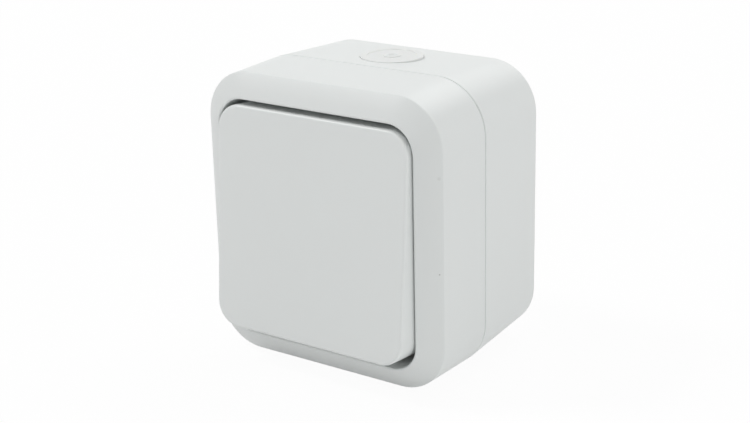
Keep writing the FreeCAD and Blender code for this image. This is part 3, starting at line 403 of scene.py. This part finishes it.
# The plunger's spring: 0.6 mm round wire, coiled with a closed and ground turn at each end. It
# stands between the roof of the cradle's guide and the plunger, and tilts with them.
SPRING_WIRE = 0.3
SPRING_COIL = 2.1
SPRING_LENGTH = 4.5
SPRING_OUT = 44.25
PIVOT_OUT = 43.75
REST_TILT = -4.75
OPEN_TURNS = 3.0
CLOSED_TURN = 1.0
COIL_STEPS = 40
WIRE_STEPS = 14
GROUND_OFF = 0.1
coil_rings = []
all_turns = OPEN_TURNS + 2 * CLOSED_TURN
closed_rise = 2 * SPRING_WIRE
open_rise = SPRING_LENGTH - 2 * SPRING_WIRE + 2 * GROUND_OFF - 2 * closed_rise
for step in range(round(all_turns * COIL_STEPS) + 1):
    turn = step / COIL_STEPS
    opened = min(OPEN_TURNS, max(0.0, turn - CLOSED_TURN))
    closed = turn - opened
    along = SPRING_WIRE - GROUND_OFF + closed * closed_rise / CLOSED_TURN + opened * open_rise / OPEN_TURNS
    angle = 2 * math.pi * turn
    ring = []
    for point in range(WIRE_STEPS):
        around = 2 * math.pi * point / WIRE_STEPS
        reach = SPRING_COIL + SPRING_WIRE * math.cos(around)
        height = min(SPRING_LENGTH, max(0.0, along + SPRING_WIRE * math.sin(around)))
        ring.append((reach * math.cos(angle), height - SPRING_OUT, reach * math.sin(angle)))
    coil_rings.append(ring)
coil = ring_mesh("coil", coil_rings)
pivot = Matrix.Translation((0, -PIVOT_OUT, 0))
tilt = pivot @ Matrix.Rotation(math.radians(REST_TILT), 4, "X") @ pivot.inverted()
coil.transform(Matrix.Scale(MILLIMETRE, 4) @ tilt)
WIRE_GREY = (0.560, 0.560, 0.555, 1)
WIRE_GREY_DULL = (0.400, 0.395, 0.385, 1)
DRAWN_LINES = (1, 0.2, 1)
spring_steel = metal("spring_steel", WIRE_GREY, WIRE_GREY_DULL,
                     matt=0.24, line_size=0.00012, line_depth=0.000002, lines=DRAWN_LINES)
as_piece("wound_spring", [coil], spring_steel,
         node="plunger_spring", body="rocker_group")

# The strap: 1.2 mm steel sheet, blanked and zinc plated, that carries the mechanism on the box's
# posts. The rolling lines run along it, under the plate.
ROLLED_SIDEWAYS = (0.06, 1, 1)
zinc_steel = metal("zinc_steel", ZINC, ZINC_DULL,
                   matt=0.28, line_size=0.00025, line_depth=0.000003, lines=ROLLED_SIDEWAYS)
dress(zinc_steel, "mounting_strap")

# The strap's two screws and the cover's two: zinc plated, pan headed, with a cross drive and a
# coarse thread that cuts its own way into the posts. The cover's hide under the rocker.
CROSS_HALF = 0.4
CROSS_REACH = 2.2
CROSS_TAPER = 0.72
CROSS_FLOOR = 1.1
PAN_HEAD = 2.0
POST_PITCH = 1.25
POST_DEPTH = 0.42
STRAP_SCREW = {"radius": 1.6, "pitch": POST_PITCH, "depth": POST_DEPTH, "length": 9.0, "thread_start": -9.0,
               "thread_end": -0.6, "head_r": 3.1, "head": PAN_HEAD, "edge": 0.65}
COVER_SCREW = dict(STRAP_SCREW, length=15.8, thread_start=-15.8, thread_end=-6.0)
STRAP_SEAT = 31.7
COVER_SEAT = 36.3
STRAP_SCREW_X = 30.0
COVER_SCREW_X = 24.4
COVER_SCREW_Z = 27.25
cross_corners = []
arm = [(CROSS_REACH, -CROSS_HALF), (CROSS_REACH, CROSS_HALF), (CROSS_HALF, CROSS_HALF)]
for quarter in range(4):
    cross_corners += arm
    arm = [(-y, x) for x, y in arm]
for name, screw, seat, right_x, right_z in (
        ("strap_screws", STRAP_SCREW, STRAP_SEAT, STRAP_SCREW_X, 0),
        ("cover_screws", COVER_SCREW, COVER_SEAT, COVER_SCREW_X, -COVER_SCREW_Z)):
    meshes = []
    for side in (-1, 1):
        cross_cutter = prism("cross", cross_corners, CROSS_FLOOR, PAN_HEAD + CROSS_HALF, CROSS_TAPER)
        place = facing((0, -1, 0), (side * right_x, -seat, side * right_z))
        meshes.append(driven(name, screw, cross_cutter, place))
    as_piece("threaded_" + name, meshes, screw_steel, node=name, body="housing")

# The two seals: black rubber rings, one squeezed between the box and the cover, the other
# between the strap and the cover's collar. Their skin is dull, with a grey bloom.
RUBBER_BLACK = (0.030, 0.030, 0.031, 1)
RUBBER_BLOOM = (0.075, 0.075, 0.072, 1)
seal_rubber = rubber("seal_rubber", RUBBER_BLACK, RUBBER_BLOOM,
                     matt=0.68, skin_size=0.00018, skin_depth=0.000008, milky=0.0)
dress(seal_rubber, "box_gasket", "mechanism_seal")

# The cover: the same white ABS as the box, moulded in the same grain. Its front is bevelled all
# round to the pocket of the rocker, and the bevel has a dark and a faint speck on the right.
DARK_SPECK = ((0.03599, -0.04840, -0.00520), 0.00026, (0.520, 0.520, 0.510, 1))
FAINT_SPECK = ((0.03605, -0.04835, 0.01986), 0.00060, (0.730, 0.750, 0.740, 1))
cover_plastic = plastic("cover_plastic", BOX_WHITE, BOX_WHITE_DEEP, SATIN, GRAIN, GRAIN_DEPTH,
                        specks=(DARK_SPECK, FAINT_SPECK))
dress(cover_plastic, "front_cover")

# The rocker: one large white ABS button that clips on to the cradle. Its face comes from a
# smoother tool than the cover, so it is a shade glossier.
ROCKER_WHITE = (0.822, 0.846, 0.837, 1)
ROCKER_WHITE_DEEP = (0.810, 0.834, 0.825, 1)
rocker_plastic = plastic("rocker_plastic", ROCKER_WHITE, ROCKER_WHITE_DEEP,
                         satin=0.38, grain_size=0.00028, grain_depth=0.000006)
dress(rocker_plastic, "rocker")

# The studio: a white floor that the switch stands on, in a white surround. Two large soft lamps
# stand behind and on the right and a smaller one low in front. The smallest, high on the left,
# draws a bright line along the rocker's upper edge.
low, high = cad_bounds
centre = (low + high) / 2
FLOOR_HALF = 6.0
floor_mesh = bpy.data.meshes.new("floor")
floor_corners = [(x * FLOOR_HALF, y * FLOOR_HALF, low.z) for x, y in ((-1, -1), (1, -1), (1, 1), (-1, 1))]
floor_mesh.from_pydata(floor_corners, [], [(0, 1, 2, 3)])
floor = bpy.data.objects.new("floor", floor_mesh)
bpy.context.scene.collection.objects.link(floor)


def seen(start):
    """1 where the camera or a reflection looks, and 0 for the light that falls on the switch."""
    camera_ray = start.node("ShaderNodeLightPath", {}, {}, "Is Camera Ray")
    glossy_ray = start.node("ShaderNodeLightPath", {}, {}, "Is Glossy Ray")
    clear_ray = start.node("ShaderNodeLightPath", {}, {}, "Is Transmission Ray")
    return camera_ray + glossy_ray + clear_ray


FLOOR_GREY = (0.80, 0.80, 0.80, 1)
FLOOR_PALE = (0.95, 0.95, 0.95, 1)
FLOOR_WHITE = 0.95
floor_paper, floor_place = new_finish("floor_paper")
floor_seen = seen(floor_place)
floor_colour = between(floor_seen, FLOOR_GREY, FLOOR_PALE)
floor_lit = floor_place.node("ShaderNodeBsdfDiffuse", {}, {"Color": floor_colour})
floor_glow = floor_place.node("ShaderNodeEmission", {}, {"Strength": 1.0})
show(floor_place.node("ShaderNodeMixShader", {}, {0: floor_seen * FLOOR_WHITE, 1: floor_lit, 2: floor_glow}))
floor_mesh.materials.append(floor_paper)

WORLD_LEVEL = 0.40
world = bpy.data.worlds.new("surround")
world.use_nodes = True
world.node_tree.nodes.clear()
sky = Socket(world.node_tree, None)
sky_level = WORLD_LEVEL + seen(sky) * (1 - WORLD_LEVEL)
background = sky.node("ShaderNodeBackground", {}, {"Color": (1, 1, 1, 1), "Strength": sky_level})
show(background, "ShaderNodeOutputWorld")
bpy.context.scene.world = world


def towards(azimuth, elevation):
    """The way from the switch to a lamp or the camera. Azimuth 0 is in front of the rocker."""
    turn = math.radians(azimuth)
    rise = math.radians(elevation)
    return Vector((math.sin(turn) * math.cos(rise), -math.cos(turn) * math.cos(rise), math.sin(rise)))


LAMP_DISTANCE = 2.5
for name, azimuth, elevation, side, watts in (
        ("lamp_behind", 180, 50, 1.7, 16.7),
        ("lamp_right", 125, 20, 1.7, 7.2),
        ("lamp_low", 58, 2, 0.8, 19.2),
        ("lamp_high", -65, 52, 0.5, 23.3)):
    lamp = bpy.data.lights.new(name, "AREA")
    lamp.shape = "SQUARE"
    lamp.size = side
    lamp.energy = watts
    holder = bpy.data.objects.new(name, lamp)
    way = towards(azimuth, elevation)
    holder.location = centre + way * LAMP_DISTANCE
    holder.rotation_mode = "QUATERNION"
    holder.rotation_quaternion = (-way).to_track_quat("-Z", "Y")
    bpy.context.scene.collection.objects.link(holder)

# The camera, where the photograph was taken from: in front, to the right and above, with the
# lens of a small product shot.
CAMERA_AZIMUTH = 35.15
CAMERA_ELEVATION = 19.09
CAMERA_ROLL = -1.336
CAMERA_DISTANCE = 0.4175
CAMERA_LENS = 74.18
CAMERA_AIM = centre + Vector((0.0021, 0.0012, -0.0008))
camera = bpy.data.objects.new("camera", bpy.data.cameras.new("camera"))
camera.data.lens = CAMERA_LENS
camera_way = towards(CAMERA_AZIMUTH, CAMERA_ELEVATION)
camera.location = CAMERA_AIM + camera_way * CAMERA_DISTANCE
camera.rotation_mode = "QUATERNION"
level = (-camera_way).to_track_quat("-Z", "Y")
camera.rotation_quaternion = level @ Quaternion((0, 0, 1), math.radians(CAMERA_ROLL))
bpy.context.scene.collection.objects.link(camera)
bpy.context.scene.camera = camera
bpy.context.scene.view_settings.view_transform = "Standard"
